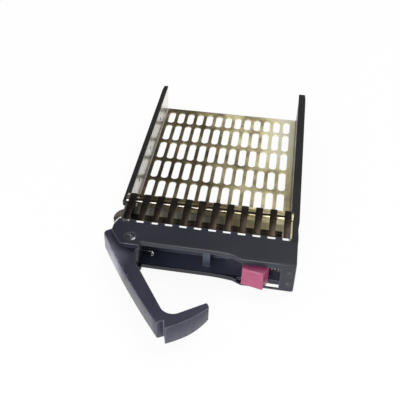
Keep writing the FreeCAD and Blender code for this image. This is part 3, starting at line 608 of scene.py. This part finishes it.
# %% The tree of a rivet row
rivets, given = geometry_tree("rivet_row", [
    ("Count", "Int", 3), ("First", "Vector", None), ("Step", "Vector", None),
    ("Radius", "Float", 0.0018), ("Height", "Float", 0.0005), ("Shank", "Float", 0.0011),
    ("Depth", "Float", 0.002), ("Turn", "Vector", None), ("Steel", "Material", None)])
ball = node(rivets, "GeometryNodeMeshUVSphere", {"Segments": 28, "Rings": 14,
                                                 "Radius": given["Radius"]})
flat = node(rivets, "ShaderNodeCombineXYZ", {
    "X": 1.0, "Y": 1.0, "Z": math_node(rivets, "DIVIDE", given["Height"], given["Radius"])})
dome = node(rivets, "GeometryNodeTransform", {"Geometry": ball.outputs["Mesh"],
                                              "Scale": flat.outputs[0]})
rod = node(rivets, "GeometryNodeMeshCylinder", {"Vertices": 28, "Radius": given["Shank"],
                                                "Depth": given["Depth"]})
down = node(rivets, "ShaderNodeCombineXYZ", {
    "Z": math_node(rivets, "MULTIPLY", given["Depth"], -0.5)})
shank = node(rivets, "GeometryNodeTransform", {"Geometry": rod.outputs["Mesh"],
                                               "Translation": down.outputs[0]})
single = node(rivets, "GeometryNodeJoinGeometry", {0: [dome.outputs[0], shank.outputs[0]]})
smooth = node(rivets, "GeometryNodeSetShadeSmooth", {"Geometry": single.outputs[0]})
row = node(rivets, "GeometryNodeMeshLine", {
    "Count": given["Count"], "Start Location": given["First"], "Offset": given["Step"]})
turned = node(rivets, "GeometryNodeInstanceOnPoints", {
    "Points": row.outputs[0], "Instance": smooth.outputs[0], "Rotation": given["Turn"]})
finished_tree(rivets, turned.outputs[0], given["Steel"])
print("rivet row:", len(rivets.nodes), "nodes")


# %% Rivets of the rails and the bezel's arms
def rivet_row(name, count, along_z, heads_face):
    """Rivets in place of a node's; heads_face is +1 where the heads are toward +X."""
    low, high = (Vector(corner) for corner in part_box(name))
    radius, height, shank_radius = 1.8 * MM, 0.45 * MM, 1.1 * MM
    rim = high.x if heads_face > 0 else low.x
    if along_z:
        start = (rim - heads_face * height, (low.y + high.y) / 2, low.z + radius)
        step = (0, 0, (high.z - low.z - 2 * radius) / (count - 1))
    else:
        start = (rim - heads_face * height, low.y + radius, (low.z + high.z) / 2)
        step = (0, (high.y - low.y - 2 * radius) / (count - 1), 0)
    piece = grown("domed_" + name, rivets, {
        "Count": count, "First": start, "Step": step, "Radius": radius,
        "Height": height, "Shank": shank_radius, "Depth": high.x - low.x - height,
        "Turn": (0, heads_face * math.pi / 2, 0), "Steel": turned_steel})
    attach(piece, "carrier")
    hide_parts(name)
    return piece


rows = [rivet_row("left_rail_rivets", 3, False, -1),
        rivet_row("right_rail_rivets", 3, False, 1),
        rivet_row("left_bezel_rivets", 2, True, 1),
        rivet_row("right_bezel_rivets", 2, True, -1)]
print("rivets:", {row.name: len(row.data.polygons) for row in rows})

# %% [markdown]
# ## The pivot pin's head
# The lever turns on a turned pin whose head stands in a shallow seat. Turning leaves a
# chamfered rim, a shallow groove and a drilled centre. Such a part is a profile spun
# round its axis, so bmesh spins it, and the welded result has its normals recalculated.

# %% Pivot pin
low, high = (Vector(corner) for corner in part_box("lever_pin"))
axis_x, axis_y = (low.x + high.x) / 2, (low.y + high.y) / 2
head = (high.x - low.x) / 2 / MM
length = (high.z - low.z) / MM
SHAFT = 1.5
PROFILE = [(0.0, -0.30), (0.42, -0.22), (0.50, -0.04), (1.15, 0.0), (1.22, -0.14),
           (1.40, -0.14), (1.48, -0.02), (head - 0.35, -0.10), (head, -0.32),
           (head, -0.92), (SHAFT, -0.95), (SHAFT, 0.2 - length), (1.3, -length),
           (0.0, -length)]
shape = bmesh.new()
ring = [shape.verts.new((r * MM, 0, z * MM + high.z)) for r, z in PROFILE]
edges = [shape.edges.new(pair) for pair in zip(ring, ring[1:])]
bmesh.ops.spin(shape, geom=ring + edges, cent=(0, 0, 0), axis=(0, 0, 1),
               angle=math.tau, steps=48)
bmesh.ops.remove_doubles(shape, verts=shape.verts, dist=0.005 * MM)
bmesh.ops.recalc_face_normals(shape, faces=shape.faces)
bmesh.ops.translate(shape, verts=shape.verts, vec=(axis_x, axis_y, 0))
pin_mesh = bpy.data.meshes.new("turned_pin")
shape.to_mesh(pin_mesh)
shape.free()
pin_mesh.materials.append(turned_steel)
pin_mesh.shade_smooth()
pin_mesh.set_sharp_from_angle(angle=math.radians(35))
pin = bpy.data.objects.new("turned_pin", pin_mesh)
bpy.context.scene.collection.objects.link(pin)
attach(pin, "carrier")
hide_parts("lever_pin")
print("pin:", len(pin_mesh.polygons), "faces")

# %% [markdown]
# ## Springs
# Two springs work inside: a torsion spring round the lever's neck and a compression
# spring behind the button. A coil is a circle swept along a spiral, so one tree makes
# both. The torsion spring's foot sits in the lever and its leg in the bezel. The leg ends
# in a curl, which is what shows in the bezel's recess.

# %% The tree of a coil
coils, given = geometry_tree("spring_coil", [
    ("Turns", "Float", 3.0), ("Radius", "Float", 0.003), ("Height", "Float", 0.002),
    ("Wire", "Float", 0.0007), ("Turn", "Vector", None), ("Foot", "Vector", None),
    ("Clockwise", "Bool", True), ("Steel", "Material", None)])
spiral = node(coils, "GeometryNodeCurveSpiral", {
    "Resolution": 40, "Rotations": given["Turns"], "Start Radius": given["Radius"],
    "End Radius": given["Radius"], "Height": given["Height"],
    "Reverse": given["Clockwise"]})
section = node(coils, "GeometryNodeCurvePrimitiveCircle", {
    "Resolution": 12, "Radius": math_node(coils, "MULTIPLY", given["Wire"], 0.5)})
swept = node(coils, "GeometryNodeCurveToMesh", {"Curve": spiral.outputs[0],
                                                "Profile Curve": section.outputs[0],
                                                "Fill Caps": True})
stood = node(coils, "GeometryNodeTransform", {"Geometry": swept.outputs[0],
                                              "Translation": given["Foot"],
                                              "Rotation": given["Turn"]})
smooth = node(coils, "GeometryNodeSetShadeSmooth", {"Geometry": stood.outputs[0]})
finished_tree(coils, smooth.outputs[0], given["Steel"])
print("coil:", len(coils.nodes), "nodes")


# %% Bent wire
def bent_wire(name, points, wire_mm):
    """A round wire along corner points in millimetres, with its bends rounded."""
    data = bpy.data.curves.new(name, "CURVE")
    data.dimensions = "3D"
    data.bevel_depth = wire_mm / 2 * MM
    data.bevel_resolution = 4
    data.use_fill_caps = True
    spline = data.splines.new("NURBS")
    spline.points.add(len(points) - 1)
    for target, point in zip(spline.points, points):
        target.co = (*(Vector(point) * MM), 1.0)
    spline.order_u = 3
    spline.use_endpoint_u = True
    spline.resolution_u = 10
    source = bpy.data.objects.new(name + "_line", data)
    bpy.context.scene.collection.objects.link(source)
    mesh = bpy.data.meshes.new_from_object(
        source.evaluated_get(bpy.context.evaluated_depsgraph_get()))
    bpy.data.objects.remove(source)
    mesh.materials.clear()
    mesh.materials.append(bright_wire)
    mesh.shade_smooth()
    made = bpy.data.objects.new(name, mesh)
    bpy.context.scene.collection.objects.link(made)
    return made


print("bent wire ready")

# %% [markdown]
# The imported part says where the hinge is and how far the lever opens. The coil has three
# turns, and the share of a fourth that sets its ends at the open lever's angle. Its lower
# end turns with the lever.

# %% Lever spring's coil
hinge = next(j for j in record["behaviour"]["joints"] if j["name"] == "lever_swing")
pivot = Vector(hinge["pos_m"][:2]) / MM
open_angle = hinge["range_deg"][1]
low, high = (Vector(corner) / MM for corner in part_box("lever_spring"))
wire, radius, pitch, foot_lift = 0.7, 3.1, 0.77, 0.67
start_angle = 270 - open_angle
turns = 3 + (180 - open_angle) / 360
foot_z = low.z + foot_lift
rise = pitch * turns
torsion = grown("torsion_coil", coils, {
    "Turns": turns, "Radius": radius * MM, "Height": rise * MM, "Wire": wire * MM,
    "Turn": (0, 0, math.radians(start_angle)),
    "Foot": (pivot.x * MM, pivot.y * MM, foot_z * MM), "Clockwise": True,
    "Steel": bright_wire})
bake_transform(torsion)
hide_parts("lever_spring")
print("torsion coil:", len(torsion.data.polygons), "faces")

# %% [markdown]
# The foot is a straight wire in the lever. The leg runs low under the lever, then
# rises past it and curls back on itself in the bezel's recess. Its steps are from the
# coil's top end, in millimetres.

# %% Lever spring's foot and leg
rest = math.radians(start_angle)
foot_angle, foot_length = math.radians(-open_angle - 9), 6.0
foot = Vector((pivot.x + radius * math.cos(rest), pivot.y + radius * math.sin(rest),
               foot_z))
reach = Vector((math.cos(foot_angle), math.sin(foot_angle), 0)) * foot_length
toe = bent_wire("torsion_spring_foot", [foot, foot + reach], wire)
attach(toe, "lever")
root = Vector((pivot.x, pivot.y + radius, foot_z + rise))
LEG = [(0, 0, 0), (2.5, -0.5, -0.05), (5.0, -1.05, -0.1), (8.0, -1.7, 0.5),
       (8.9, -1.9, 0.5), (9.3, -2.0, -0.6), (8.9, -2.9, -0.9), (8.3, -2.6, -0.3),
       (8.6, -1.9, -0.5)]
leg = bent_wire("torsion_spring_leg", [root + Vector(away) for away in LEG], wire)
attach(leg, "carrier")
print("foot and leg:", [len(o.data.polygons) for o in (toe, leg)], "faces")

# %% [markdown]
# The button's spring lies along X.

# %% Button spring
low, high = (Vector(corner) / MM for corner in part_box("button_spring"))
thick = 0.4
middle = (low + high) / 2
press = grown("button_coil", coils, {
    "Turns": 6.0, "Radius": ((high.z - low.z) / 2 - thick / 2) * MM,
    "Height": (high.x - low.x - thick) * MM, "Wire": thick * MM,
    "Turn": (0, math.pi / 2, 0), "Clockwise": False, "Steel": bright_wire,
    "Foot": ((low.x + thick / 2) * MM, middle.y * MM, middle.z * MM)})
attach(press, "carrier")
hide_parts("button_spring")
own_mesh(press)
print("button spring:", len(press.data.polygons), "faces")

# %% [markdown]
# ## Floor and light
# The floor is a pale sheet. It shows white to the camera and in reflections, and a share
# of it still takes the object's shadow. One broad lamp stands low at the front left, so
# faces turned to the front are the brighter ones, and a weaker one lights from above.

# %% Floor
floor_mesh = bpy.data.meshes.new("floor")
edge = 3.0
floor_mesh.from_pydata([(-edge, -edge, 0), (edge, -edge, 0), (edge, edge, 0),
                        (-edge, edge, 0)], [], [(0, 1, 2, 3)])
floor = bpy.data.objects.new("floor", floor_mesh)
floor.location.z = cad_box[0][2] - 0.02 * MM
bpy.context.scene.collection.objects.link(floor)

paper, tree, output, place = new_material("white_paper_matte")
WHITE_SHARE = 0.93
rays = node(tree, "ShaderNodeLightPath").outputs
seen = math_node(tree, "MAXIMUM", rays["Is Camera Ray"], rays["Is Glossy Ray"])
seen = math_node(tree, "MAXIMUM", seen, rays["Is Transmission Ray"])
share = math_node(tree, "MULTIPLY", seen, WHITE_SHARE)
matte = node(tree, "ShaderNodeBsdfDiffuse", {"Color": linear("#FAFAFA")})
glow = node(tree, "ShaderNodeEmission", {"Color": (1, 1, 1, 1), "Strength": 1.0})
both = node(tree, "ShaderNodeMixShader", {0: share, 1: matte.outputs[0],
                                          2: glow.outputs[0]})
tree.links.new(both.outputs[0], output.inputs[0])
floor_mesh.materials.append(paper)
print("floor:", paper.name)

# %% [markdown]
# The studio round the object is white to the camera. Reflections see a room that is pale
# at the horizon and grey above, so polished and metal faces have something to shade into.
# The light that it gives is dim, and leaves the modelling to the lamps.

# %% World
world = bpy.data.worlds.new("studio")
bpy.context.scene.world = world
world.use_nodes = True
tree = world.node_tree
tree.nodes.clear()
rays = node(tree, "ShaderNodeLightPath").outputs
direction = node(tree, "ShaderNodeTexCoord").outputs["Generated"]
height = node(tree, "ShaderNodeSeparateXYZ", {0: direction}).outputs["Z"]
studio = ramp(tree, height, [(0.0, "#FFFFFF"), (0.08, "#D8D8D8"), (0.35, "#7E7E80"),
                             (1.0, "#8E8E90")])
mirrored = math_node(tree, "MAXIMUM", rays["Is Glossy Ray"], rays["Is Transmission Ray"])
dim = node(tree, "ShaderNodeBackground", {"Color": (1, 1, 1, 1), "Strength": 0.5})
room = node(tree, "ShaderNodeBackground", {"Color": studio, "Strength": 1.0})
white = node(tree, "ShaderNodeBackground", {"Color": (1, 1, 1, 1), "Strength": 1.0})
lit = node(tree, "ShaderNodeMixShader", {0: mirrored, 1: dim.outputs[0],
                                         2: room.outputs[0]})
sky = node(tree, "ShaderNodeMixShader", {0: rays["Is Camera Ray"], 1: lit.outputs[0],
                                         2: white.outputs[0]})
node(tree, "ShaderNodeOutputWorld", {0: sky.outputs[0]})
print("world:", len(tree.nodes), "nodes")


# %% Lamps
def lamp(name, place, size, power):
    """A round soft box aimed at the part."""
    data = bpy.data.lights.new(name, "AREA")
    data.shape = "DISK"
    data.size = size
    data.energy = power
    made = bpy.data.objects.new(name, data)
    made.location = place
    made.rotation_euler = (-Vector(place)).to_track_quat("-Z", "Y").to_euler()
    bpy.context.scene.collection.objects.link(made)


lamp("front_lamp", (-0.15, -0.80, 0.20), size=0.4, power=6.2)
lamp("top_lamp", (0.25, 0.25, 0.8), size=0.6, power=2.8)
bpy.context.scene.view_settings.view_transform = "Standard"
